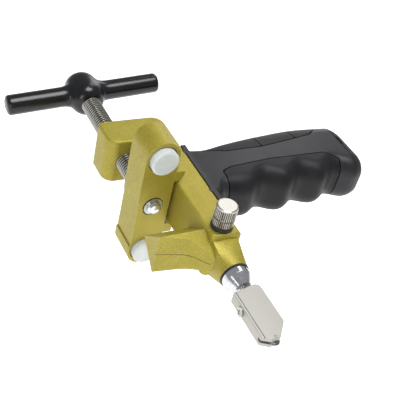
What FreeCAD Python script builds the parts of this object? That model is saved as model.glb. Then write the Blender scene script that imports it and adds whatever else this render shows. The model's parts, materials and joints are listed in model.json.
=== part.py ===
"""Hand-held glass cutter with a screw-driven breaking press.

Row frame: the lead screw turns on the Y axis, +Y points to its T-handle and the cutting wheel is
at -Y. +X points to the end of the pistol grip and +Z is up, on the oil cap's side. The origin is
on the lead screw's axis, in the front face of the press plate. Millimetres throughout.
"""
import FreeCAD, Part
import math
import os
import Sketcher

Vector = FreeCAD.Vector
Rotation = FreeCAD.Rotation
Placement = FreeCAD.Placement

# Driving dimensions: alias, value, meaning.
DIMENSIONS = [
    ("casting_half", 12.25, "half the thickness of the C-frame casting"),
    ("arm_left", -9.8, "free end of the arm"),
    ("arm_back", 51.3, "arm, face towards the T-handle"),
    ("arm_front", 33.6, "arm, face towards the press plate"),
    ("spine_in", 10.0, "inner face of the spine"),
    ("spine_out", 24.0, "outer face of the spine, where the grip sits"),
    ("spine_end", -36.8, "end of the full-thickness spine"),
    ("corner_round", 6.0, "large outer corners of the casting"),
    ("edge_round", 1.2, "rounding along the casting's edges"),
    ("anvil_tip", -11.6, "free end of the anvil"),
    ("ridge_place", -17.1, "anvil ridge, along Y"),
    ("anvil_base", -29.4, "back of the anvil wedge, along Y"),
    ("anvil_half", 10.5, "half the width of the anvil wedge"),
    ("gusset_depth", -41.5, "foot of the gusset behind the anvil, along Y"),
    ("neck_end", -49.0, "end of the neck that holds the nozzle"),
    ("neck_radius", 7.0, "radius of the neck at its end"),
    ("head_line", 17.0, "X of the nozzle and cutting head axis"),
    ("screw_radius", 5.0, "lead screw, M10 x 1.5"),
    ("journal_radius", 3.5, "plain end of the lead screw in the plate"),
    ("running_gap", 0.05, "radial clearance of a running fit"),
    ("plate_depth", 16.0, "press plate, front to back"),
    ("plate_half", 8.2, "half the width of the press plate"),
    ("plate_ends", 28.0, "centre of each rounded end of the plate"),
    ("lug_gap", 0.5, "side clearance between a guide lug and the casting"),
    ("lug_tall", 6.0, "guide lug, along Z"),
    ("lug_reach", 4.9, "how far a guide lug stands beyond the plate, along X"),
    ("lug_back", 7.0, "back of a guide lug, along Y"),
    ("pad_place", 27.2, "centre of each press pad"),
    ("pad_radius", 6.5, "press pad"),
    ("pad_recess", 2.0, "depth of the recess that holds a pad"),
    ("pad_proud", 3.4, "height of a pad above the plate"),
    ("washer_depth", 1.0, "depth of the retaining washer's seat"),
    ("shoulder", 17.6, "shoulder of the lead screw, along Y"),
    ("bar_place", 93.0, "axis of the T-bar, along Y"),
    ("bar_radius", 5.3, "T-bar"),
    ("bar_length", 84.6, "T-bar, end to end"),
    ("bar_turn", 4.8, "rest angle of the T-bar about the screw axis, degrees"),
    ("hub_radius", 9.5, "T-handle hub"),
    ("hub_front", 82.0, "hub, face towards the arm"),
    ("hub_back", 104.5, "hub, free face"),
    ("flange_thick", 2.4, "mounting flange of the grip"),
    ("cap_seam", 111.0, "X of the joint between grip and end cap"),
    ("skin", 2.6, "depth of the inset finger and back grips"),
    ("groove", 0.5, "groove around an inset grip"),
    ("bolt_line", 12.0, "Y of the grip bolt's axis"),
    ("bolt_radius", 3.0, "M6 grip bolt"),
    ("access_radius", 6.2, "access hole along the grip"),
    ("bolt_seat", 34.0, "X of the seat under the bolt's washer"),
    ("nozzle_radius", 6.5, "largest radius of the nozzle"),
    ("spigot_radius", 1.6, "spigot that the cutting head swivels on"),
    ("head_top", -57.6, "end of the cutting head nearest the nozzle"),
    ("head_half", 2.6, "half the thickness of the cutting head"),
    ("wheel_place", 15.6, "X of the cutting wheel's axle"),
    ("wheel_height", -85.8, "Y of the cutting wheel's axle"),
    ("wheel_radius", 2.6, "cutting wheel"),
    ("axle_radius", 0.7, "wheel axle"),
    ("cap_line", -31.0, "Y of the oil cap's axis"),
    ("cap_radius", 5.0, "knurled oil cap"),
    ("cap_top", 24.6, "top of the oil cap"),
    ("well_radius", 3.5, "threaded mouth of the oil well"),
    ("seal_radius", 5.1, "flat rubber ring under the oil cap"),
    ("seal_thick", 2.0, "thickness of that ring"),
]

doc = FreeCAD.newDocument("glass_cutter")
sheet = doc.addObject("Spreadsheet::Sheet", "dims")
for row, (alias, number, meaning) in enumerate(DIMENSIONS, start=1):
    sheet.set("A%d" % row, meaning)
    sheet.set("B%d" % row, str(number))
    sheet.setAlias("B%d" % row, alias)
doc.recompute()

size = {alias: float(sheet.get(alias)) for alias, number, meaning in DIMENSIONS}
parts = {}


# ---------------------------------------------------------------- building blocks

def bind(thing, **formulas):
    """Bind properties of an object to formulas over the sheet; __ stands for a dot."""
    for name, formula in formulas.items():
        thing.setExpression(name.replace("__", "."), formula)
    return thing


def span(low, high):
    return "(%s) - (%s)" % (high, low)


def box(name, x, y, z):
    """A block between two formulas along each axis."""
    block = doc.addObject("Part::Box", name)
    return bind(block, Length=span(*x), Width=span(*y), Height=span(*z),
                Placement__Base__x=x[0], Placement__Base__y=y[0], Placement__Base__z=z[0])


def rod(name, axis, ends, radius, x="0", y="0", z="0"):
    """A cylinder along X, Y or Z between two formulas; the other two coordinates are its centre."""
    turn = {"X": Rotation(Vector(0, 1, 0), 90), "Y": Rotation(Vector(1, 0, 0), -90), "Z": Rotation()}
    cylinder = doc.addObject("Part::Cylinder", name)
    cylinder.Placement = Placement(Vector(), turn[axis])
    start = {"X": x, "Y": y, "Z": z}
    start[axis] = ends[0]
    return bind(cylinder, Radius=radius, Height=span(*ends), Placement__Base__x=start["X"],
                Placement__Base__y=start["Y"], Placement__Base__z=start["Z"])


def fuse(name, *shapes):
    union = doc.addObject("Part::MultiFuse", name)
    union.Shapes = list(shapes)
    return union


def common(name, *shapes):
    overlap = doc.addObject("Part::MultiCommon", name)
    overlap.Shapes = list(shapes)
    return overlap


def cut(name, base, *tools):
    difference = doc.addObject("Part::Cut", name)
    difference.Base = base
    difference.Tool = tools[0] if len(tools) == 1 else fuse(name + "_tools", *tools)
    return difference


def finish(label, thing):
    """Name an object as a sub-part of the cutter."""
    thing.Label = label
    parts[label] = thing
    return thing


def plane_of(body, role):
    return next(item for item in body.Origin.OriginFeatures if item.Role == role)


def outline(body, name, role, corners, offset="0"):
    """A closed polygon of formula pairs, sketched on one of the body's own origin planes."""
    sketch = body.newObject("Sketcher::SketchObject", name)
    sketch.AttachmentSupport = (plane_of(body, role), [""])
    sketch.MapMode = "FlatFace"
    bind(sketch, AttachmentOffset__Base__z=offset)
    count = len(corners)
    for index in range(count):
        start = 2 * math.pi * index / count
        end = 2 * math.pi * (index + 1) / count
        sketch.addGeometry(Part.LineSegment(Vector(math.cos(start), math.sin(start), 0),
                                            Vector(math.cos(end), math.sin(end), 0)))
    for index in range(count):
        sketch.addConstraint(Sketcher.Constraint("Coincident", index, 2, (index + 1) % count, 1))
    for index, pair in enumerate(corners):
        for kind, formula in zip(("DistanceX", "DistanceY"), pair):
            number = sketch.addConstraint(Sketcher.Constraint(kind, index, 1, 1.0))
            sketch.setExpression("Constraints[%d]" % number, formula)
    return sketch


def pad(body, sketch, length, middle=False):
    feature = body.newObject("PartDesign::Pad", sketch.Name + "_pad")
    feature.Profile = sketch
    feature.Midplane = middle
    return bind(feature, Length=length)


def turned(name, corners):
    """A piece turned about its own Y axis from a half profile of (radius, place) formulas."""
    body = doc.addObject("PartDesign::Body", name)
    sketch = outline(body, name + "_profile", "XY_Plane", corners)
    feature = body.newObject("PartDesign::Revolution", name + "_turn")
    feature.Profile = sketch
    feature.ReferenceAxis = (sketch, ["V_Axis"])
    feature.Angle = 360
    return body


def edges_where(shape, test):
    """Names of the edges whose middle point and direction pass the test."""
    names = []
    for number, edge in enumerate(shape.Edges, start=1):
        middle = edge.valueAt((edge.FirstParameter + edge.LastParameter) / 2)
        ends = [vertex.Point for vertex in edge.Vertexes]
        along = (ends[-1] - ends[0]) if len(ends) > 1 else Vector()
        if along.Length > 0:
            along.normalize()
        if test(middle, along):
            names.append("Edge%d" % number)
    return names


def round_edges(body, name, radius, test):
    """Fillet the chosen edges of the body's last feature."""
    doc.recompute()
    base = body.Tip
    feature = body.newObject("PartDesign::Fillet", name)
    feature.Base = (base, edges_where(base.Shape, test))
    bind(feature, Radius=radius)
    doc.recompute()
    return feature


def at(middle, x, y):
    return abs(middle.x - x) < 0.01 and abs(middle.y - y) < 0.01


# ---------------------------------------------------------------- the C-frame casting

def casting_body():
    body = doc.addObject("PartDesign::Body", "casting")
    pad(body, outline(body, "c_outline", "XY_Plane", [
        ("dims.arm_left", "dims.arm_back"),
        ("dims.spine_out", "dims.arm_back"),
        ("dims.spine_out", "dims.spine_end"),
        ("dims.spine_in", "dims.spine_end"),
        ("dims.spine_in", "dims.arm_front"),
        ("dims.arm_left", "dims.arm_front"),
    ]), "2 * dims.casting_half", middle=True)
    round_edges(body, "large_corners", "dims.corner_round", lambda middle, along: (
        at(middle, size["spine_out"], size["arm_back"]) or at(middle, size["arm_left"], size["arm_front"])))
    round_edges(body, "small_corners", "dims.corner_round / 2", lambda middle, along: (
        at(middle, size["spine_in"], size["arm_front"]) or at(middle, size["spine_in"], size["spine_end"])
        or at(middle, size["arm_left"], size["arm_back"])))
    round_edges(body, "soft_edges", "dims.edge_round", lambda middle, along: (
        abs(abs(middle.z) - size["casting_half"]) < 0.01))
    return body


def anvil_body():
    """The wedge that the glass breaks over, with the gusset that carries it into the neck."""
    body = doc.addObject("PartDesign::Body", "anvil")
    wedge = outline(body, "wedge", "YZ_Plane", [
        ("dims.ridge_place", "0"),
        ("dims.anvil_base", "dims.anvil_half"),
        ("dims.anvil_base", "-dims.anvil_half"),
    ], offset="dims.anvil_tip")
    pad(body, wedge, "dims.spine_in + 2 - dims.anvil_tip")
    gusset = outline(body, "gusset", "XY_Plane", [
        ("dims.anvil_tip", "dims.anvil_base"),
        ("dims.spine_in * 0.25", "dims.anvil_base - 3.4"),
        ("dims.spine_in", "dims.gusset_depth"),
        ("dims.spine_in + 2", "dims.gusset_depth - 1"),
        ("dims.spine_in + 2", "dims.anvil_base"),
    ])
    pad(body, gusset, "2 * dims.anvil_half", middle=True)
    round_edges(body, "gusset_sweep", "dims.corner_round * 2", lambda middle, along: (
        at(middle, size["spine_in"] * 0.25, size["anvil_base"] - 3.4)))
    for side in (1, -1):
        slope = outline(body, "slope_%s" % ("up" if side > 0 else "down"), "YZ_Plane", [
            ("dims.anvil_base", "%d * dims.anvil_half" % side),
            ("dims.anvil_base", "%d * (dims.anvil_half + 4)" % side),
            ("dims.gusset_depth - 4", "%d * (dims.anvil_half + 4)" % side),
            ("dims.gusset_depth - 4", "%d * (dims.anvil_half - 9)" % side),
        ], offset="dims.anvil_tip - 1")
        pocket = body.newObject("PartDesign::Pocket", "slope_cut_%s" % ("up" if side > 0 else "down"))
        pocket.Profile = slope
        pocket.Reversed = True
        bind(pocket, Length="dims.spine_in + 1 - dims.anvil_tip + 2")
    return body


def neck_body():
    """The neck, from the spine's oblong section to a round end."""
    body = doc.addObject("PartDesign::Body", "neck")
    start = body.newObject("Sketcher::SketchObject", "neck_start")
    start.AttachmentSupport = (plane_of(body, "XZ_Plane"), [""])
    start.MapMode = "FlatFace"
    bind(start, AttachmentOffset__Base__z="-(dims.spine_end + 3)")
    half_width = (size["spine_out"] - size["spine_in"]) / 2 - 0.6
    half_height = size["casting_half"] - 2.2
    corners = [Vector(half_width * a, half_height * b, 0) for a, b in ((1, -1), (1, 1), (-1, 1), (-1, -1))]
    for index in range(4):
        start.addGeometry(Part.LineSegment(corners[index], corners[(index + 1) % 4]))
    for index in range(4):
        start.addConstraint(Sketcher.Constraint("Coincident", index, 2, (index + 1) % 4, 1))
    end = body.newObject("Sketcher::SketchObject", "neck_round")
    end.AttachmentSupport = (plane_of(body, "XZ_Plane"), [""])
    end.MapMode = "FlatFace"
    bind(end, AttachmentOffset__Base__z="-dims.neck_end")
    circle = Part.Circle(Vector(), Vector(0, 0, 1), size["neck_radius"])
    for index in range(4):
        first = math.radians(-45 + 90 * index)
        end.addGeometry(Part.ArcOfCircle(circle, first, first + math.pi / 2))
    for index in range(4):
        end.addConstraint(Sketcher.Constraint("Coincident", index, 2, (index + 1) % 4, 1))
    doc.recompute()
    loft = body.newObject("PartDesign::AdditiveLoft", "neck_loft")
    loft.Profile = start
    loft.Sections = [end]
    bind(body, Placement__Base__x="dims.head_line")
    return body


def frame_casting():
    bores = [
        rod("screw_bore", "Y", ("dims.arm_front - 1", "dims.arm_back + 1"),
            "dims.screw_radius + dims.running_gap"),
        rod("nozzle_bore", "Y", ("dims.neck_end - 1", "dims.spine_end - 1"), "4", x="dims.head_line"),
        rod("oil_channel", "Y", ("dims.spine_end - 2", "dims.cap_line"), "1.2", x="dims.head_line"),
        rod("oil_well", "Z", ("-dims.casting_half + 4", "dims.casting_half + 1"), "dims.well_radius",
            x="dims.head_line", y="dims.cap_line"),
        rod("bolt_hole", "X", ("dims.spine_out - 10", "dims.spine_out + 1"), "dims.bolt_radius",
            y="dims.bolt_line"),
    ]
    solid = fuse("casting_solid", casting_body(), anvil_body(), neck_body())
    notches = [box("tab_notch_%d" % index, ("dims.spine_out - 1.2", "dims.spine_out + 1"),
                   ("%s - 1.3" % place, "%s + 1.3" % place),
                   ("dims.casting_half - 1.4", "dims.casting_half + 1"))
               for index, place in enumerate(("21.5", "-7.8"))]
    return finish("frame_casting", cut("frame_casting", solid, *bores, *notches))


# ---------------------------------------------------------------- the press

def guide_lug(name, side):
    """A lug that slides along one side face of the casting and keeps the plate square."""
    body = doc.addObject("PartDesign::Body", "lug_%s" % name)
    near = "dims.casting_half + dims.lug_gap"
    corners = [("dims.plate_half - 1", near), ("dims.plate_half + 1.6", near),
               ("dims.plate_half + 3.8", near + " + 1.3"),
                ("dims.plate_half + dims.lug_reach", near + " + 3.2"),
               ("dims.plate_half + dims.lug_reach", near + " + dims.lug_tall"),
               ("dims.plate_half - 1", near + " + dims.lug_tall")]
    shape = outline(body, "lug_shape_%s" % name, "XZ_Plane",
                    [(x, "%d * (%s)" % (side, z)) for x, z in corners], offset="-dims.lug_back")
    pad(body, shape, "dims.lug_back - 0.4")
    round_edges(body, "lug_rounding_%s" % name, "0.5", lambda middle, along: (
        abs(middle.y - 0.4) < 0.01 and middle.x > size["plate_half"] - 0.9))
    return body


def press_plate():
    blank = fuse("plate_blank",
                 box("plate_middle", ("-dims.plate_half", "dims.plate_half"), ("0", "dims.plate_depth"),
                     ("-dims.plate_ends", "dims.plate_ends")),
                 rod("plate_top", "Y", ("0", "dims.plate_depth"), "dims.plate_half", z="dims.plate_ends"),
                 rod("plate_foot", "Y", ("0", "dims.plate_depth"), "dims.plate_half", z="-dims.plate_ends"))
    lugs = [guide_lug(name, side) for side, name in ((1, "upper"), (-1, "lower"))]
    recesses = [rod("pad_recess_%s" % name, "Y", ("-1", "dims.pad_recess"), "dims.pad_radius + 0.5",
                    z="%s * dims.pad_place" % side) for side, name in (("1", "upper"), ("-1", "lower"))]
    bores = [
        rod("journal_bore", "Y", ("-1", "dims.plate_depth + 1"), "dims.journal_radius + dims.running_gap"),
        rod("washer_seat", "Y", ("-1", "dims.washer_depth + 0.1"), "5.2"),
        box("side_step", ("-dims.plate_half - 1", "-dims.plate_half + 0.6"), ("-1", "dims.plate_depth + 1"),
            ("-24", "3")),
    ]
    return finish("press_plate", cut("press_plate", fuse("plate_solid", blank, *lugs), *recesses, *bores))


def press_pads():
    for side, name in (("1", "upper_pad"), ("-1", "lower_pad")):
        button = turned(name, [
            ("0", "-dims.pad_proud"),
            ("dims.pad_radius - 1", "-dims.pad_proud"),
            ("dims.pad_radius", "-dims.pad_proud + 0.7"),
            ("dims.pad_radius", "dims.pad_recess"),
            ("0", "dims.pad_recess"),
        ])
        bind(button, Placement__Base__z="%s * dims.pad_place" % side)
        finish(name, button)


def thrust_washer():
    finish("thrust_washer", turned("thrust_washer", [
        ("dims.journal_radius + dims.running_gap", "dims.plate_depth"),
        ("7.5", "dims.plate_depth"),
        ("7.5", "dims.shoulder - 0.1"),
        ("dims.journal_radius + dims.running_gap", "dims.shoulder - 0.1"),
    ]))


def lead_screw():
    """The threaded spindle as a plain cylinder of the thread's outside size."""
    spindle = turned("spindle", [
        ("1.5", "dims.washer_depth"),
        ("dims.journal_radius", "dims.washer_depth"),
        ("dims.journal_radius", "dims.shoulder"),
        ("dims.screw_radius - 0.8", "dims.shoulder"),
        ("dims.screw_radius", "dims.shoulder + 0.8"),
        ("dims.screw_radius", "dims.bar_place - dims.bar_radius - 0.4"),
        ("0", "dims.bar_place - dims.bar_radius - 0.4"),
        ("0", "dims.washer_depth + 8"),
        ("1.5", "dims.washer_depth + 8"),
    ])
    hole = rod("pin_hole_in_screw", "Z", ("-12", "12"), "1.5", y="dims.hub_front + 2.6")
    return finish("lead_screw", cut("lead_screw", spindle, hole))


def retaining_screw():
    """Pan-head screw and washer that hold the plate on the end of the lead screw."""
    finish("retaining_screw", turned("retaining_screw", [
        ("0", "dims.washer_depth - 3.5"),
        ("2.4", "dims.washer_depth - 3.3"),
        ("3.4", "dims.washer_depth - 2.6"),
        ("3.4", "dims.washer_depth - 1.3"),
        ("1.5", "dims.washer_depth - 1.3"),
        ("1.5", "dims.washer_depth + 7.5"),
        ("0", "dims.washer_depth + 7.5"),
    ]))
    finish("retaining_washer", turned("retaining_washer", [
        ("1.5", "dims.washer_depth - 1.3"),
        ("4.6", "dims.washer_depth - 1.3"),
        ("4.6", "dims.washer_depth"),
        ("1.5", "dims.washer_depth"),
    ]))


def t_handle():
    hub = turned("hub_solid", [
        ("dims.screw_radius", "dims.hub_front - 1.5"),
        ("dims.screw_radius + 1.2", "dims.hub_front - 1.5"),
        ("dims.screw_radius + 1.4", "dims.hub_front"),
        ("dims.hub_radius - 2.6", "dims.hub_front"),
        ("dims.hub_radius", "dims.hub_front + 2.8"),
        ("dims.hub_radius", "dims.hub_back - 3.4"),
        ("dims.hub_radius - 3.2", "dims.hub_back"),
        ("0", "dims.hub_back"),
        ("0", "dims.bar_place - dims.bar_radius - 0.4"),
        ("dims.screw_radius", "dims.bar_place - dims.bar_radius - 0.4"),
    ])
    round_edges(hub, "hub_rounding", "1.6", lambda middle, along: (
        math.hypot(middle.x, middle.z) > size["hub_radius"] - 3.3 and middle.y > size["hub_front"] + 0.5))
    bar_hole = rod("bar_hole", "X", ("-20", "20"), "dims.bar_radius", y="dims.bar_place")
    pin_hole = rod("pin_hole_in_hub", "Z", ("-12", "12"), "1.5", y="dims.hub_front + 2.6")
    finish("t_hub", cut("t_hub", hub, bar_hole, pin_hole))
    finish("hub_pin", rod("hub_pin", "Z", ("-dims.hub_radius + 0.8", "dims.hub_radius - 0.8"), "1.5",
                          y="dims.hub_front + 2.6"))
    bar = turned("t_bar", [
        ("0", "-dims.bar_length / 2"),
        ("dims.bar_radius - 2", "-dims.bar_length / 2"),
        ("dims.bar_radius", "-dims.bar_length / 2 + 2"),
        ("dims.bar_radius", "dims.bar_length / 2 - 2"),
        ("dims.bar_radius - 2", "dims.bar_length / 2"),
        ("0", "dims.bar_length / 2"),
    ])
    round_edges(bar, "bar_rounding", "1.5", lambda middle, along: (
        abs(abs(middle.y) - size["bar_length"] / 2) < 2.1
        and math.hypot(middle.x, middle.z) > size["bar_radius"] - 2.1))
    bar.Placement = Placement(Vector(), Rotation(Vector(0, 0, 1), -90))
    bind(bar, Placement__Base__y="dims.bar_place")
    finish("t_bar", bar)


# ---------------------------------------------------------------- the pistol grip

# Sections of the grip: place along X, lowest and highest Y, half thickness, corner radius.
GRIP_SECTIONS = [
    (26.0, -13.0, 24.6, 11.6, 4.0),
    (34.0, -6.0, 24.8, 12.2, 7.0),
    (46.0, -8.0, 27.2, 13.0, 9.0),
    (68.0, -8.2, 30.0, 13.4, 9.5),
    (90.0, -7.4, 31.6, 13.4, 9.5),
    (111.0, -7.0, 30.4, 13.0, 9.0),
]
CAP_SECTIONS = [
    (111.3, -7.0, 30.3, 13.0, 9.0),
    (114.2, -6.6, 27.4, 12.3, 8.6),
    (116.4, -5.4, 22.4, 10.6, 7.4),
    (117.6, -2.6, 17.6, 8.0, 5.6),
]
# Finger lobes along the underside: place of the first, spacing and depth of the hollows between.
FIRST_LOBE = 46.7
LOBE_PITCH = 21.4
HOLLOW_DEPTH = 4.2
SECTION_STEP = 2.5
# Extra depth of the inset finger grip, so that the hollows stay inside it.
FINGER_SIDE_SKIN = 5.0


def section_wire(place, low, high, half, corner):
    """A rounded oblong across the grip."""
    edges = []
    centres = ((high - corner, half - corner, 0), (low + corner, half - corner, 90),
               (low + corner, corner - half, 180), (high - corner, corner - half, 270))

    def point(centre, angle):
        return Vector(place, centre[0] + corner * math.cos(math.radians(angle)),
                      centre[1] + corner * math.sin(math.radians(angle)))

    for index, centre in enumerate(centres):
        angle = centre[2]
        arc = Part.Arc(point(centre, angle), point(centre, angle + 45), point(centre, angle + 90))
        edges.append(arc.toShape())
        following = centres[(index + 1) % 4]
        edges.append(Part.LineSegment(point(centre, angle + 90), point(following, angle + 90)).toShape())
    return Part.Wire(edges)


def slope_at(sections, index, column):
    """Slope of one section value, level at a peak so that the shape never overshoots."""
    steps = [(far[column] - near[column]) / (far[0] - near[0])
             for near, far in zip(sections, sections[1:])]
    if index == 0:
        return steps[0]
    if index == len(steps):
        return steps[-1]
    before, after = steps[index - 1], steps[index]
    return 0.0 if before * after <= 0 else 2 * before * after / (before + after)


def section_between(sections, place):
    """The section at any place, eased between the ones that are given."""
    index = max(i for i in range(len(sections) - 1) if sections[i][0] <= place or i == 0)
    near, far = sections[index], sections[index + 1]
    reach = far[0] - near[0]
    part = (place - near[0]) / reach
    values = [place]
    for column in range(1, 5):
        start = slope_at(sections, index, column) * reach
        end = slope_at(sections, index + 1, column) * reach
        values.append((2 * part ** 3 - 3 * part ** 2 + 1) * near[column]
                      + (part ** 3 - 2 * part ** 2 + part) * start
                      + (3 * part ** 2 - 2 * part ** 3) * far[column]
                      + (part ** 3 - part ** 2) * end)
    return values


def hollow_at(place):
    """How far the underside is hollowed between two finger lobes."""
    turns = (place - FIRST_LOBE) / LOBE_PITCH
    if turns < 0 or turns > 3:
        return 0.0
    return HOLLOW_DEPTH * (1 - math.cos(2 * math.pi * turns)) / 2


def grip_loft(name, fingers, inset):
    """The grip's length as one solid, either with finger hollows or drawn in all round."""
    first, last = GRIP_SECTIONS[0][0], GRIP_SECTIONS[-1][0]
    count = math.ceil((last - first) / SECTION_STEP)
    wires = []
    for number in range(count + 1):
        place = first + (last - first) * number / count
        place, low, high, half, corner = section_between(GRIP_SECTIONS, place)
        low += hollow_at(place) if fingers else inset + FINGER_SIDE_SKIN
        wires.append(section_wire(place, low, high - inset, half - inset, max(corner - inset, 1.0)))
    return lofted(name, wires)


def lofted(name, wires):
    skin = doc.addObject("Part::Feature", name)
    skin.Shape = Part.makeLoft(wires, True, False)
    return skin


def side_window(name, corners, corner_round, grown=0.0):
    """A rounded polygon seen from the side, carried right across the grip."""
    points = [Vector(x, y, -20) for x, y in corners]
    border = Part.makePolygon(points + points[:1])
    if grown:
        border = border.makeOffset2D(grown, 2)
    solid = Part.Face(border).extrude(Vector(0, 0, 40))
    uprights = [edge for edge in solid.Edges if abs(edge.tangentAt(edge.FirstParameter).z) > 0.9]
    window = doc.addObject("Part::Feature", name)
    window.Shape = solid.makeFillet(corner_round, uprights)
    return window


def pistol_grip():
    outside = grip_loft("grip_outside", fingers=True, inset=0.0)
    core = grip_loft("grip_core", fingers=False, inset=size["skin"])
    finger_corners = [(36.2, 3.6), (41, 5.2), (64, 6.4), (96, 5.6), (103, 1), (103, -20), (36.2, -20)]
    back_corners = [[(33.5, 20.6), (44.5, 16.9), (65.2, 16.4), (61, 40), (33.5, 40)],
                    [(65.2, 16.4), (87, 19.4), (83.5, 40), (61, 40)],
                    [(87, 19.4), (97, 21), (103, 25.5), (103, 40), (83.5, 40)]]
    finger_window = side_window("finger_window", finger_corners, 2.0)
    finish("finger_grip", cut("finger_grip", common("finger_piece", outside, finger_window), core))
    windows = [side_window("finger_window_grown", finger_corners, 2.0, grown=size["groove"])]
    for number, corners in enumerate(back_corners, start=1):
        window = side_window("back_window_%d" % number, corners, 0.8, grown=-size["groove"] / 2)
        finish("back_grip_%d" % number,
               cut("back_grip_%d" % number, common("back_piece_%d" % number, outside, window), core))
        windows.append(side_window("back_window_grown_%d" % number, corners, 0.8, grown=size["groove"] / 2))
    pockets = cut("grip_pockets", fuse("grip_windows", *windows), core)
    flange = box("grip_flange", ("dims.spine_out", "dims.spine_out + dims.flange_thick"), ("-15.4", "26.2"),
                 ("-dims.casting_half", "dims.casting_half"))
    tabs = [box("flange_tab_%d" % index, ("dims.spine_out - 1.1", "dims.spine_out + 1"),
                ("%s - 1.2" % place, "%s + 1.2" % place),
                ("dims.casting_half - 1.3", "dims.casting_half"))
            for index, place in enumerate(("21.5", "-7.8"))]
    access = rod("bolt_access", "X", ("dims.bolt_seat", "dims.cap_seam + 1"), "dims.access_radius",
                 y="dims.bolt_line")
    bolt_way = rod("bolt_way", "X", ("dims.spine_out - 2", "dims.bolt_seat + 1"), "dims.bolt_radius + 0.2",
                   y="dims.bolt_line")
    solid = fuse("grip_and_flange", outside, flange, *tabs)
    finish("handle_body", cut("handle_body", solid, pockets, access, bolt_way))


def end_cap():
    """Push-in cap that closes the access hole, with a notch to lever it out."""
    shell = lofted("cap_shell", [section_wire(*section) for section in CAP_SECTIONS])
    plug = rod("cap_plug", "X", ("dims.cap_seam - 6", "dims.cap_seam + 2"), "dims.access_radius - 0.1",
               y="dims.bolt_line")
    notch = box("lever_notch", ("dims.cap_seam - 1", "dims.cap_seam + 1.4"),
                ("10.5", "16.5"), ("11.2", "16"))
    finish("end_cap", cut("end_cap", fuse("cap_solid", shell, plug), notch))


def grip_bolt():
    shank = rod("bolt_shank", "X", ("dims.spine_out - 9.5", "dims.bolt_seat + 2"), "dims.bolt_radius",
                y="dims.bolt_line")
    head = rod("bolt_head", "X", ("dims.bolt_seat + 1.4", "dims.bolt_seat + 7.4"), "5", y="dims.bolt_line")
    socket = doc.addObject("Part::Prism", "bolt_socket")
    socket.Polygon = 6
    socket.Placement = Placement(Vector(), Rotation(Vector(0, 1, 0), 90))
    bind(socket, Circumradius="2.9", Height="4", Placement__Base__x="dims.bolt_seat + 4",
         Placement__Base__y="dims.bolt_line")
    finish("grip_bolt", cut("grip_bolt", fuse("bolt_solid", shank, head), socket))
    disc = rod("bolt_washer_disc", "X", ("dims.bolt_seat", "dims.bolt_seat + 1.4"), "5.8",
               y="dims.bolt_line")
    hole = rod("bolt_washer_hole", "X", ("dims.bolt_seat - 1", "dims.bolt_seat + 3"), "dims.bolt_radius",
               y="dims.bolt_line")
    finish("bolt_washer", cut("bolt_washer", disc, hole))


# ---------------------------------------------------------------- nozzle, oil cap and cutting head

def nozzle():
    collar = "dims.neck_end - 0.9"
    piece = turned("nozzle", [
        ("0.75", "dims.spine_end - 1"),
        ("4", "dims.spine_end - 1"),
        ("4", collar),
        ("dims.nozzle_radius", collar),
        ("dims.nozzle_radius", collar + " - 3"),
        ("dims.spigot_radius + 2.2", "dims.head_top + 0.3"),
        ("dims.spigot_radius", "dims.head_top + 0.3"),
        ("dims.spigot_radius", "dims.head_top - 9.6"),
        ("dims.spigot_radius - 0.4", "dims.head_top - 9.6"),
        ("dims.spigot_radius - 0.4", "dims.head_top - 12"),
        ("dims.spigot_radius", "dims.head_top - 12"),
        ("dims.spigot_radius", "dims.head_top - 13.5"),
        ("0.75", "dims.head_top - 13.5"),
    ])
    bind(piece, Placement__Base__x="dims.head_line")
    finish("nozzle", piece)
    seal = turned("nozzle_seal", [
        ("4", "dims.neck_end"),
        ("dims.nozzle_radius + 0.3", "dims.neck_end"),
        ("dims.nozzle_radius + 0.3", collar),
        ("4", collar),
    ])
    bind(seal, Placement__Base__x="dims.head_line")
    finish("nozzle_seal", seal)
    finish("oil_wick", rod("oil_wick", "Y", ("dims.head_top - 20", "dims.cap_line - 3.6"), "0.7",
                           x="dims.head_line"))


def oil_cap():
    """Knurled screw cap of the oil well, on a rubber ring."""
    middle = "(dims.casting_half + dims.cap_top) / 2"
    cap = turned("oil_cap", [
        ("0", "4.5"),
        ("dims.well_radius - 0.6", "4.5"),
        ("dims.well_radius - dims.running_gap", "5.1"),
        ("dims.well_radius - dims.running_gap", "dims.casting_half + dims.seal_thick"),
        ("dims.cap_radius - 0.4", "dims.casting_half + dims.seal_thick"),
        ("dims.cap_radius", "dims.casting_half + dims.seal_thick + 0.4"),
        ("dims.cap_radius", middle + " - 0.6"),
        ("dims.cap_radius - 0.7", middle + " - 0.3"),
        ("dims.cap_radius - 0.7", middle + " + 0.3"),
        ("dims.cap_radius", middle + " + 0.6"),
        ("dims.cap_radius", "dims.cap_top - 0.8"),
        ("dims.cap_radius - 0.8", "dims.cap_top"),
        ("0", "dims.cap_top"),
    ])
    upright = Rotation(Vector(1, 0, 0), 90)
    cap.Placement = Placement(Vector(), upright)
    bind(cap, Placement__Base__x="dims.head_line", Placement__Base__y="dims.cap_line")
    finish("oil_cap", cap)
    ring = turned("oil_cap_seal", [
        ("dims.well_radius + dims.running_gap", "dims.casting_half"),
        ("dims.seal_radius - 0.3", "dims.casting_half"),
        ("dims.seal_radius", "dims.casting_half + 0.3"),
        ("dims.seal_radius", "dims.casting_half + dims.seal_thick - 0.3"),
        ("dims.seal_radius - 0.3", "dims.casting_half + dims.seal_thick"),
        ("dims.well_radius + dims.running_gap", "dims.casting_half + dims.seal_thick"),
    ])
    ring.Placement = Placement(Vector(), upright)
    bind(ring, Placement__Base__x="dims.head_line", Placement__Base__y="dims.cap_line")
    finish("oil_cap_seal", ring)


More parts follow.
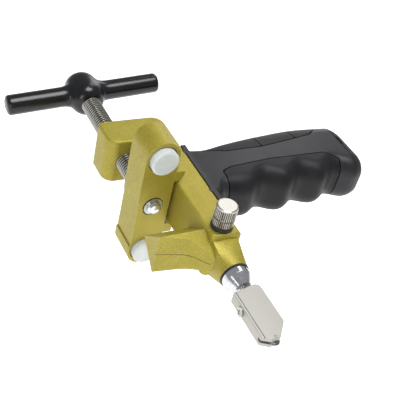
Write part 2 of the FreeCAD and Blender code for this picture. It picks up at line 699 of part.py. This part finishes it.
def cutter_head():
    body = doc.addObject("PartDesign::Body", "head_block")
    pad(body, outline(body, "head_side", "XY_Plane", [
        ("dims.head_line - 7.2", "dims.head_top - 2.6"),
        ("dims.head_line + 6.6", "dims.head_top"),
        ("dims.head_line + 6.6", "-79.5"),
        ("dims.wheel_place + 2.2", "-86.6"),
        ("dims.wheel_place - 1.8", "-86.8"),
        ("dims.head_line - 7.2", "-84.6"),
    ]), "2 * dims.head_half", middle=True)
    round_edges(body, "head_corner", "2.5", lambda middle, along: (
        at(middle, size["head_line"] + 6.6, size["head_top"])))
    round_edges(body, "head_small_corners", "0.8", lambda middle, along: (
        abs(along.z) > 0.99 and abs(middle.z) < 0.01 and middle.x < size["head_line"] + 6
        or at(middle, size["head_line"] + 6.6, -79.5)))
    round_edges(body, "head_edges", "0.35", lambda middle, along: (
        abs(abs(middle.z) - size["head_half"]) < 0.01))
    slot = box("wheel_slot", ("dims.head_line - 8", "dims.head_line + 8"),
               ("-90", "dims.wheel_height + dims.wheel_radius + 0.4"), ("-0.75", "0.75"))
    spigot_bore = rod("spigot_bore", "Y", ("dims.head_top - 14", "dims.head_top + 1"),
                      "dims.spigot_radius + dims.running_gap", x="dims.head_line")
    oil_bore = rod("wick_bore", "Y", ("dims.wheel_height", "dims.head_top - 13"), "0.9", x="dims.head_line")
    axle_bore = rod("axle_bore", "Z", ("-4", "4"), "dims.axle_radius", x="dims.wheel_place",
                    y="dims.wheel_height")
    tapping = rod("set_screw_hole", "X", ("dims.head_line - 8", "dims.head_line"), "1.05",
                  y="dims.head_top - 10.8")
    finish("cutter_head", cut("cutter_head", body, slot, spigot_bore, oil_bore, axle_bore, tapping))


def head_set_screw():
    shank = rod("set_screw_shank", "X",
                ("dims.head_line - 7.4", "dims.head_line - dims.spigot_radius + 0.35"), "1.05",
                y="dims.head_top - 10.8")
    head = rod("set_screw_head", "X", ("dims.head_line - 8.1", "dims.head_line - 7.2"), "2.2",
               y="dims.head_top - 10.8")
    bars = [box("cross_slot_%d" % index, ("dims.head_line - 9", "dims.head_line - 7.7"),
                ("dims.head_top - 10.8 - %s" % long, "dims.head_top - 10.8 + %s" % long),
                ("-%s" % tall, tall))
            for index, (long, tall) in enumerate((("1.4", "0.25"), ("0.25", "1.4")))]
    finish("head_set_screw", cut("head_set_screw", fuse("set_screw_solid", shank, head), *bars))


def cutting_wheel():
    """Carbide wheel with a V edge, on a plain axle."""
    wheel = turned("cutting_wheel", [
        ("dims.axle_radius + dims.running_gap", "-0.55"),
        ("dims.wheel_radius - 0.9", "-0.55"),
        ("dims.wheel_radius", "0"),
        ("dims.wheel_radius - 0.9", "0.55"),
        ("dims.axle_radius + dims.running_gap", "0.55"),
    ])
    wheel.Placement = Placement(Vector(), Rotation(Vector(1, 0, 0), 90))
    bind(wheel, Placement__Base__x="dims.wheel_place", Placement__Base__y="dims.wheel_height")
    finish("cutting_wheel", wheel)
    finish("wheel_axle", rod("wheel_axle", "Z", ("-dims.head_half + 0.1", "dims.head_half - 0.1"),
                             "dims.axle_radius", x="dims.wheel_place", y="dims.wheel_height"))


def turn_t_handle():
    """The lead screw rests part of a turn from level, and so does all that turns with it."""
    turn = Placement(Vector(), Rotation(Vector(0, 1, 0), -size["bar_turn"]))
    for label in ("t_hub", "hub_pin", "t_bar", "lead_screw"):
        doc.recompute()
        turned_piece = doc.addObject("Part::Feature", label + "_at_rest")
        turned_piece.Shape = parts[label].Shape.transformed(turn.toMatrix())
        parts[label].Label = label + "_level"
        finish(label, turned_piece)


# ---------------------------------------------------------------- build, check and write

def check(label, piece):
    if "Invalid" in piece.State or "Error" in piece.State:
        raise RuntimeError("%s failed: %s" % (label, piece.State))
    if piece.Shape.isNull() or not piece.Shape.isValid() or not piece.Shape.Solids:
        raise RuntimeError("%s has no valid solid" % label)


def main():
    frame_casting()
    press_plate()
    press_pads()
    thrust_washer()
    lead_screw()
    retaining_screw()
    t_handle()
    pistol_grip()
    end_cap()
    grip_bolt()
    nozzle()
    oil_cap()
    cutter_head()
    head_set_screw()
    cutting_wheel()
    doc.recompute()
    failed = [item.Name for item in doc.Objects if "Invalid" in item.State or "Error" in item.State]
    if failed:
        raise RuntimeError("failed: %s" % ", ".join(failed))
    turn_t_handle()
    os.makedirs("parts", exist_ok=True)
    for label, piece in parts.items():
        check(label, piece)
        piece.Shape.exportStep("parts/%s.step" % label)
        box_of = piece.Shape.BoundBox
        print("%-18s solids %d  volume %9.1f  x %7.2f %7.2f  y %7.2f %7.2f  z %7.2f %7.2f" % (
            label, len(piece.Shape.Solids), piece.Shape.Volume, box_of.XMin, box_of.XMax,
            box_of.YMin, box_of.YMax, box_of.ZMin, box_of.ZMax))


main()
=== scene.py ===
"""Looks of a hand-held glass cutter with a breaking press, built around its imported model.

Metres, in the row frame: +Y along the lead screw to its T-handle, +X to the end of the grip, +Z up.
"""

import json
import math

import bpy
from mathutils import Matrix, Vector


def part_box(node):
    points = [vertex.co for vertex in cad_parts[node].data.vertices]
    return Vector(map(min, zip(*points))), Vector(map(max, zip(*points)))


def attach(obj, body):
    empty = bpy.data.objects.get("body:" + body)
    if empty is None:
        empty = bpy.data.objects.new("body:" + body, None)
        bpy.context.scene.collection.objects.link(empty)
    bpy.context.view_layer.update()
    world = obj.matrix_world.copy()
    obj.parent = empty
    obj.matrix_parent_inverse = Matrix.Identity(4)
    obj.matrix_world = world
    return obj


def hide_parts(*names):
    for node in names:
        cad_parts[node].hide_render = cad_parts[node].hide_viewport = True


MM = 0.001

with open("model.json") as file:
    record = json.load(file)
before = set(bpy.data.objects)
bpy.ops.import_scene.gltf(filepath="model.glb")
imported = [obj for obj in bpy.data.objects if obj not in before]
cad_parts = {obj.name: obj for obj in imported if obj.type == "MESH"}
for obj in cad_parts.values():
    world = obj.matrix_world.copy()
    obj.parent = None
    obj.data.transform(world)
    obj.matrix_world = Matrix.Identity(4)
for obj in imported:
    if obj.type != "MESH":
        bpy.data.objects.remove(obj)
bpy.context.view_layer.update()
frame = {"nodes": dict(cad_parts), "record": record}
nodes = frame["nodes"]


# ---------------------------------------------------------------- node helpers

class Shader:
    """A material's node tree around one Principled shader, in the object's own coordinates."""

    def __init__(self, name, color, metallic=0.0, roughness=0.5, **extra):
        self.material = bpy.data.materials.new(name)
        self.material.use_nodes = True
        self.tree = self.material.node_tree
        self.bsdf = next(n for n in self.tree.nodes if n.type == "BSDF_PRINCIPLED")
        self.place = self.add("ShaderNodeTexCoord").outputs["Object"]
        self.set(self.bsdf, {"Base Color": (*color, 1.0), "Metallic": metallic, "Roughness": roughness})
        self.set(self.bsdf, extra)

    def add(self, kind, inputs=None, **settings):
        node = self.tree.nodes.new(kind)
        for name, value in settings.items():
            setattr(node, name, value)
        self.set(node, inputs or {})
        return node

    def set(self, node, inputs):
        for name, value in inputs.items():
            if isinstance(value, bpy.types.NodeSocket):
                self.tree.links.new(value, node.inputs[name])
            else:
                node.inputs[name].default_value = value

    def noise(self, scale, detail=3.0, roughness=0.55, place=None):
        inputs = {"Vector": place or self.place, "Scale": scale, "Detail": detail, "Roughness": roughness}
        return self.add("ShaderNodeTexNoise", inputs).outputs["Fac"]

    def speckle(self, scale, randomness=1.0):
        inputs = {"Vector": self.place, "Scale": scale, "Randomness": randomness}
        return self.add("ShaderNodeTexVoronoi", inputs).outputs["Distance"]

    def stretched(self, x, y, z):
        mapping = self.add("ShaderNodeMapping", {"Vector": self.place, "Scale": (x, y, z)})
        return mapping.outputs["Vector"]

    def ramp(self, value, low, high, at_low=0.0, at_high=1.0):
        inputs = {"Value": value, "From Min": low, "From Max": high, "To Min": at_low, "To Max": at_high}
        return self.add("ShaderNodeMapRange", inputs).outputs["Result"]

    def math(self, operation, first, second=0.0):
        node = self.add("ShaderNodeMath", {0: first, 1: second}, operation=operation)
        return node.outputs["Value"]

    def mix(self, factor, first, second):
        node = self.add("ShaderNodeMix", data_type="RGBA")
        self.set(node, {0: factor, 6: first, 7: second})
        return node.outputs[2]

    def coordinate(self, axis):
        return self.add("ShaderNodeSeparateXYZ", {"Vector": self.place}).outputs[axis]

    def soft_normal(self, radius):
        return self.add("ShaderNodeBevel", {"Radius": radius}, samples=4).outputs["Normal"]

    def edge_mask(self, radius, low, high):
        """1 along convex and concave edges, 0 on open faces."""
        geometry = self.add("ShaderNodeNewGeometry").outputs["Normal"]
        dot = self.add("ShaderNodeVectorMath", {0: self.soft_normal(radius), 1: geometry},
                       operation="DOT_PRODUCT").outputs["Value"]
        return self.ramp(dot, high, low)

    def bump(self, height, strength, distance, normal=None):
        inputs = {"Height": height, "Strength": strength, "Distance": distance}
        if normal is not None:
            inputs["Normal"] = normal
        self.set(self.bsdf, {"Normal": self.add("ShaderNodeBump", inputs).outputs["Normal"]})

    def color(self, value):
        self.set(self.bsdf, {"Base Color": value})

    def rough(self, value):
        self.set(self.bsdf, {"Roughness": value})


# ---------------------------------------------------------------- materials

def parting_line(m):
    """Mould line halfway up the anvil's base: 1 on the line, 0 elsewhere."""
    wander = m.ramp(m.noise(70.0), 0.3, 0.7, -0.15 * MM, 0.15 * MM)
    off_line = m.math("ABSOLUTE", m.math("ADD", m.coordinate("Z"), wander))
    on_line = m.math("LESS_THAN", off_line, 0.17 * MM)
    low_down = m.math("LESS_THAN", m.coordinate("Y"), -28.5 * MM)
    this_side = m.math("LESS_THAN", m.coordinate("X"), 9.5 * MM)
    return m.math("MULTIPLY", on_line, m.math("MULTIPLY", low_down, this_side))


def gold_paint():
    """Sandy metallic paint over a casting, thin and bright along its edges."""
    m = Shader("gold_paint", (0.56, 0.47, 0.10), metallic=0.35, roughness=0.42)
    grain = m.noise(2600.0, detail=2.0)
    flakes = m.speckle(3400.0)
    patches = m.noise(120.0, detail=4.0)
    pale = m.mix(m.ramp(grain, 0.35, 0.68), (0.31, 0.25, 0.018, 1), (0.54, 0.46, 0.07, 1))
    toned = m.mix(m.ramp(patches, 0.3, 0.75, 0.0, 0.45), pale, (0.29, 0.23, 0.02, 1))
    worn = m.mix(m.edge_mask(0.45 * MM, 0.55, 0.97), toned, (0.70, 0.62, 0.22, 1))
    m.color(m.mix(parting_line(m), worn, (0.06, 0.045, 0.006, 1)))
    m.rough(m.ramp(flakes, 0.1, 0.7, 0.34, 0.52))
    m.bump(m.math("ADD", grain, m.math("MULTIPLY", flakes, 0.6)), 0.55, 0.06 * MM,
           m.soft_normal(0.35 * MM))
    return m


def grip_plastic():
    """Moulded black plastic with a fine spark-eroded grain."""
    m = Shader("grip_plastic", (0.02, 0.02, 0.022), roughness=0.38, **{"Specular IOR Level": 0.36})
    grain = m.noise(5200.0, detail=2.0)
    m.color(m.mix(m.ramp(m.noise(90.0), 0.3, 0.7), (0.015, 0.015, 0.017, 1), (0.024, 0.024, 0.027, 1)))
    m.rough(m.ramp(grain, 0.3, 0.7, 0.34, 0.46))
    m.bump(grain, 0.25, 0.03 * MM, m.soft_normal(0.3 * MM))
    return m


def grip_rubber():
    """Soft black rubber, duller than the plastic round it."""
    m = Shader("grip_rubber", (0.01, 0.01, 0.011), roughness=0.48, **{"Specular IOR Level": 0.3})
    grain = m.noise(6400.0, detail=2.0)
    m.color(m.mix(m.ramp(m.noise(70.0), 0.3, 0.7), (0.007, 0.007, 0.008, 1), (0.013, 0.013, 0.015, 1)))
    m.rough(m.ramp(grain, 0.3, 0.7, 0.42, 0.56))
    m.bump(grain, 0.3, 0.03 * MM, m.soft_normal(0.3 * MM))
    return m


def brushed(name, color, roughness, scale, stretch=(1, 1, 1), edge=(0.9, 0.9, 0.88), painted_cut_shade=0.0):
    """Plated or ground metal with fine directional marks, and painted shade down in its cuts."""
    m = Shader(name, color, metallic=1.0, roughness=roughness)
    marks = m.noise(scale, detail=3.0, place=m.stretched(*stretch))
    shade = tuple(0.82 * c for c in color)
    toned = m.mix(m.ramp(marks, 0.35, 0.65), (*shade, 1), (*color, 1))
    if painted_cut_shade:
        # painted shade: the deeper a cut lies, the darker its colour is painted
        cut = m.add("ShaderNodeAttribute", attribute_name="cut").outputs["Fac"]
        m.color(m.mix(m.ramp(cut, 0.1, 0.65, 0.0, painted_cut_shade), toned, (0.035, 0.032, 0.028, 1)))
    else:
        m.color(m.mix(m.edge_mask(0.15 * MM, 0.6, 0.98), toned, (*edge, 1)))
    m.rough(m.ramp(marks, 0.3, 0.7, roughness * 0.8, roughness * 1.25))
    m.bump(marks, 0.2, 0.01 * MM, m.soft_normal(0.12 * MM))
    return m


def satin_nickel():
    """Pale blasted nickel plate, with the dark joint line of the head's cover along one side."""
    m = Shader("satin_nickel", (0.80, 0.78, 0.72), metallic=0.55, roughness=0.5)
    grain = m.noise(4200.0, detail=2.0)
    toned = m.mix(m.ramp(grain, 0.35, 0.65), (0.47, 0.455, 0.41, 1), (0.56, 0.545, 0.50, 1))
    low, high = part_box("cutter_head")
    line = m.math("ABSOLUTE", m.math("SUBTRACT", m.coordinate("X"), low.x + 1.25 * MM))
    on_line = m.math("LESS_THAN", line, 0.16 * MM)
    on_top = m.math("GREATER_THAN", m.coordinate("Z"), high.z - 0.25 * MM)
    m.color(m.mix(m.math("MULTIPLY", on_line, on_top), toned, (0.02, 0.02, 0.018, 1)))
    m.rough(m.ramp(grain, 0.3, 0.7, 0.42, 0.58))
    m.bump(grain, 0.25, 0.02 * MM, m.soft_normal(0.2 * MM))
    return m


def nylon():
    m = Shader("nylon", (0.76, 0.79, 0.78), roughness=0.38)
    m.set(m.bsdf, {"Subsurface Weight": 0.25, "Subsurface Radius": (0.004, 0.004, 0.004),
                   "Subsurface Scale": 0.4})
    m.color(m.mix(m.ramp(m.noise(260.0), 0.3, 0.7), (0.63, 0.67, 0.66, 1), (0.72, 0.755, 0.745, 1)))
    m.bump(m.noise(3000.0), 0.15, 0.02 * MM, m.soft_normal(0.3 * MM))
    return m


def seal_rubber():
    m = Shader("seal_rubber", (0.012, 0.012, 0.012), roughness=0.55)
    m.bump(m.noise(5000.0), 0.3, 0.02 * MM)
    m.color(m.mix(m.ramp(m.noise(900.0), 0.3, 0.7), (0.010, 0.010, 0.010, 1), (0.022, 0.022, 0.022, 1)))
    return m


def wick_felt():
    m = Shader("wick_felt", (0.78, 0.74, 0.64), roughness=0.95)
    fibres = m.noise(1800.0, place=m.stretched(1, 0.15, 1))
    m.color(m.mix(m.ramp(fibres, 0.3, 0.7), (0.62, 0.57, 0.46, 1), (0.84, 0.80, 0.70, 1)))
    m.bump(fibres, 0.7, 0.06 * MM)
    return m


def handle_black():
    """Thick dipped gloss black, with the slight waviness of a dipped coat."""
    m = Shader("handle_black", (0.010, 0.010, 0.012), roughness=0.22)
    wave = m.noise(160.0, detail=2.0)
    m.color(m.mix(m.ramp(wave, 0.3, 0.7), (0.003, 0.003, 0.004, 1), (0.006, 0.006, 0.008, 1)))
    m.rough(m.ramp(m.noise(1500.0), 0.3, 0.7, 0.20, 0.24))
    m.bump(wave, 0.1, 0.15 * MM, m.soft_normal(0.6 * MM))
    return m


looks = {
    "gold_paint": gold_paint(),
    "grip_plastic": grip_plastic(),
    "grip_rubber": grip_rubber(),
    "plated_steel": brushed("plated_steel", (0.52, 0.52, 0.50), 0.32, 1500.0),
    "screw_steel": brushed("screw_steel", (0.46, 0.45, 0.42), 0.34, 900.0, (1, 6, 1), painted_cut_shade=0.92),
    "bright_chrome": brushed("bright_chrome", (0.72, 0.72, 0.745), 0.13, 600.0, (1, 4, 1)),
    "satin_nickel": satin_nickel(),
    "knurled_nickel": brushed("knurled_nickel", (0.62, 0.585, 0.54), 0.30, 1400.0, painted_cut_shade=0.85),
    "wheel_steel": brushed("wheel_steel", (0.30, 0.30, 0.31), 0.25, 2500.0),
    "nylon": nylon(),
    "seal_rubber": seal_rubber(),
    "wick_felt": wick_felt(),
    "handle_black": handle_black(),
}


# ---------------------------------------------------------------- pieces made here

def turned_piece(name, stations, segments, radius_at, stand):
    """A closed piece of revolution. radius_at(station, angle) gives its radius and, from 0 to 1,
    how deep a cut lies there; stand places it."""
    rows = []
    vertices = []
    cuts = []
    for station in stations:
        row = []
        for step in range(segments):
            angle = 2 * math.pi * step / segments
            radius, cut = radius_at(station, angle)
            row.append(len(vertices))
            cuts.append(cut)
            around = (radius * math.cos(angle), radius * math.sin(angle))
            vertices.append(stand @ Vector((*around, station[0])))
        rows.append(row)
    faces = [tuple(reversed(rows[0])), tuple(rows[-1])]
    for low, high in zip(rows, rows[1:]):
        for step in range(segments):
            after = (step + 1) % segments
            faces.append((low[step], low[after], high[after], high[step]))
    mesh = bpy.data.meshes.new(name)
    mesh.from_pydata(vertices, [], faces)
    mesh.update()
    mesh.attributes.new("cut", "FLOAT", "POINT").data.foreach_set("value", cuts)
    piece = bpy.data.objects.new(name, mesh)
    bpy.context.scene.collection.objects.link(piece)
    return piece


def spaced(first, last, step):
    count = max(1, round((last - first) / step))
    return [first + (last - first) * index / count for index in range(count + 1)]


def threaded_screw():
    """Lead screw with its right-hand M10 x 1.5 thread and plain journal."""
    low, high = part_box("lead_screw")
    outer, pitch, depth = 5.0 * MM, 1.5 * MM, 0.92 * MM
    journal, shoulder = 3.5 * MM, 17.6 * MM
    chamfer = 0.4 * MM
    crest_share, flank_share = 0.14, 0.66
    stations = [(low.y, journal - chamfer), (low.y + chamfer, journal), (shoulder, journal)]
    stations += [(place, None) for place in spaced(shoulder + 0.01 * MM, high.y, pitch / 10)]

    def radius_at(station, angle):
        place, fixed = station
        if fixed is not None:
            return fixed, 0.0
        phase = (place / pitch - angle / (2 * math.pi)) % 1.0
        away = abs(2 * phase - 1)
        cut = min(1.0, max(0.0, (away - crest_share) / flank_share))
        lead_in = outer - depth + (place - shoulder)
        return min(outer - depth * cut, max(lead_in, journal)), cut

    along_y = Matrix.Rotation(math.radians(-90), 4, "X")
    return turned_piece("lead_screw_threaded", stations, 48, radius_at, along_y)


def knurled_cap():
    """Oil cap with two bands of straight knurling, a groove between them and a chamfered top."""
    low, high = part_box("oil_cap")
    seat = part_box("oil_cap_seal")[1].z
    radius = (high.x - low.x) / 2
    groove_height = 4.2 * MM
    middle = seat + groove_height
    stub = 3.4 * MM
    lip, undercut, groove_depth = 0.02 * MM, 0.35 * MM, 0.75 * MM
    profile = [(low.z, stub - 0.5 * MM, 0), (low.z + 0.5 * MM, stub, 0)]
    profile += [(z, stub - 0.25 * MM * (index % 2), 0)
                for index, z in enumerate(spaced(low.z + 0.8 * MM, seat - 0.4 * MM, 0.5 * MM))]
    profile += [(seat, stub, 0), (seat + 0.01 * MM, radius - 0.5 * MM, 0)]
    for first, last in ((seat + 0.4 * MM, middle - 0.4 * MM), (middle + 0.4 * MM, high.z - 1.1 * MM)):
        profile += [(first - lip, radius - undercut, 0)]
        profile += [(z, radius, 1) for z in spaced(first, last, 0.12 * MM)]
        profile += [(last + lip, radius - undercut, 0)]
        if last < middle:
            profile += [(middle - 0.3 * MM, radius - groove_depth, 0)]
            profile += [(middle + 0.3 * MM, radius - groove_depth, 0)]
    profile += [(high.z - 1.0 * MM, radius - 0.15 * MM, 0), (high.z - 0.35 * MM, radius - 0.25 * MM, 0),
                (high.z, radius - 0.8 * MM, 0)]
    teeth, depth = 34, 0.32 * MM

    def saw(turns):
        return abs(2 * (turns % 1.0) - 1)

    def radius_at(station, angle):
        base, cut = station[1:]
        if not cut:
            return base, 0.0
        deep = saw(teeth * angle / (2 * math.pi))
        return base - depth * deep, deep

    centre = (low + high) / 2
    return turned_piece("oil_cap_knurled", profile, teeth * 6, radius_at,
                        Matrix.Translation((centre.x, centre.y, 0)))


def dipped_handle():
    """T-handle under one dipped coat: an egg-shaped hub flowing out into the bar."""
    half, bar, round_end = 42.1 * MM, 5.3 * MM, 2.0 * MM
    near, far, across, fullness = 11.0 * MM, 11.4 * MM, 9.5 * MM, 3.3
    flare, flare_place, flare_width = 1.5 * MM, 6.0 * MM, 3.5 * MM
    bar_place, rest_turn = 93.0 * MM, math.radians(-4.8)
    halvings, blend = 16, 12

    def hub_reach(along, angle):
        """Distance from the bar's axis to the hub's skin, found by halving."""
        end = far if math.cos(angle) > 0 else near
        inside, outside = 0.0, 12.0 * MM
        for _ in range(halvings):
            reach = (inside + outside) / 2
            level = abs(reach * math.cos(angle) / end) ** fullness
            level += (math.hypot(along, reach * math.sin(angle)) / across) ** fullness
            if level < 1:
                inside = reach
            else:
                outside = reach
        return inside

    def radius_at(station, angle):
        along = abs(station[0])
        left = half - along
        if left < round_end:
            return bar - round_end + math.sqrt(left * (2 * round_end - left)), 0.0
        stem = bar + flare * math.exp(-((along - flare_place) / flare_width) ** 2)
        hub = hub_reach(along, angle) if along < across else 0.0
        return (stem ** blend + hub ** blend) ** (1 / blend), 0.0

    stations = [(place,) for place in spaced(-half, half, 0.6 * MM)]
    along_x = Matrix(((0, 0, 1, 0), (1, 0, 0, 0), (0, 1, 0, 0), (0, 0, 0, 1)))
    stand = Matrix.Rotation(rest_turn, 4, "Y") @ Matrix.Translation((0, bar_place, 0)) @ along_x
    return turned_piece("t_handle_dipped", stations, 48, radius_at, stand)


def smooth_by_angle(piece, degrees):
    """Welds seams and shades smooth up to an angle with modifiers, leaving the mesh's own vertices."""
    for polygon in piece.data.polygons:
        polygon.use_smooth = True
    weld = piece.modifiers.new("weld", "WELD")
    weld.merge_threshold = 1e-6
    split = piece.modifiers.new("creases", "EDGE_SPLIT")
    split.split_angle = math.radians(degrees)


def wear(piece, slot):
    piece.data.materials.clear()
    piece.data.materials.append(looks[slot].material)


for subpart in frame["record"]["subparts"]:
    cad_piece = nodes[subpart["node"]]
    wear(cad_piece, subpart["material_slot"])
    smooth_by_angle(cad_piece, 28)

made = [
    (threaded_screw(), "screw", ("lead_screw",), "screw_steel", 40),
    (knurled_cap(), "oil_cap", ("oil_cap",), "knurled_nickel", 24),
    (dipped_handle(), "screw", ("t_hub", "t_bar", "hub_pin"), "handle_black", 60),
]
for piece, body, replaced, slot, crease in made:
    wear(piece, slot)
    smooth_by_angle(piece, crease)
    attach(piece, body)
    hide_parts(*replaced)


# ---------------------------------------------------------------- stage, light and camera

FLOOR_HEIGHT = -0.16
FLOOR_GLOW = 0.62
CAMERA = {"azimuth": -36.1, "elevation": 38.8, "roll": 15.35, "lens": 69.46,
          "place": (-0.1433, -0.2305, 0.2286)}


def floor():
    mesh = bpy.data.meshes.new("floor")
    reach = 60.0
    mesh.from_pydata([(-reach, -reach, FLOOR_HEIGHT), (reach, -reach, FLOOR_HEIGHT),
                      (reach, reach, FLOOR_HEIGHT), (-reach, reach, FLOOR_HEIGHT)], [], [(0, 1, 2, 3)])
    plane = bpy.data.objects.new("floor", mesh)
    bpy.context.scene.collection.objects.link(plane)
    m = Shader("floor_white", (0.93, 0.93, 0.93), roughness=0.9)
    m.color(m.mix(m.ramp(m.noise(6.0), 0.3, 0.7), (0.92, 0.92, 0.92, 1), (0.94, 0.94, 0.94, 1)))
    m.set(m.bsdf, {"Emission Color": (1, 1, 1, 1), "Emission Strength": FLOOR_GLOW})
    mesh.materials.append(m.material)


def area_light(name, place, target, size, power):
    data = bpy.data.lights.new(name, "AREA")
    data.shape = "RECTANGLE"
    data.size, data.size_y = size
    data.energy = power
    lamp = bpy.data.objects.new(name, data)
    lamp.location = place
    lamp.rotation_euler = (Vector(target) - Vector(place)).to_track_quat("-Z", "Y").to_euler()
    bpy.context.scene.collection.objects.link(lamp)


def lights():
    world = bpy.data.worlds.new("studio")
    bpy.context.scene.world = world
    world.use_nodes = True
    world.node_tree.nodes["Background"].inputs["Color"].default_value = (0.96, 0.98, 1, 1)
    world.node_tree.nodes["Background"].inputs["Strength"].default_value = 0.36
    middle = (0.03, 0.0, 0.0)
    area_light("key", (0.10, -0.05, 0.80), middle, (0.45, 0.45), 5.0)
    area_light("front", (-0.65, -0.75, 0.30), middle, (0.45, 0.45), 1.9)
    area_light("strip", (0.55, 0.65, 0.45), middle, (0.25, 0.9), 1.3)


def camera():
    data = bpy.data.cameras.new("camera")
    data.lens = CAMERA["lens"]
    data.sensor_width = 36.0
    data.clip_start = 0.01
    eye = bpy.data.objects.new("camera", data)
    eye.matrix_world = (Matrix.Translation(CAMERA["place"])
                        @ Matrix.Rotation(math.radians(CAMERA["azimuth"]), 4, "Z")
                        @ Matrix.Rotation(math.radians(90 - CAMERA["elevation"]), 4, "X")
                        @ Matrix.Rotation(math.radians(CAMERA["roll"]), 4, "Z"))
    bpy.context.scene.collection.objects.link(eye)
    bpy.context.scene.camera = eye


floor()
lights()
camera()
bpy.context.scene.view_settings.view_transform = "Standard"
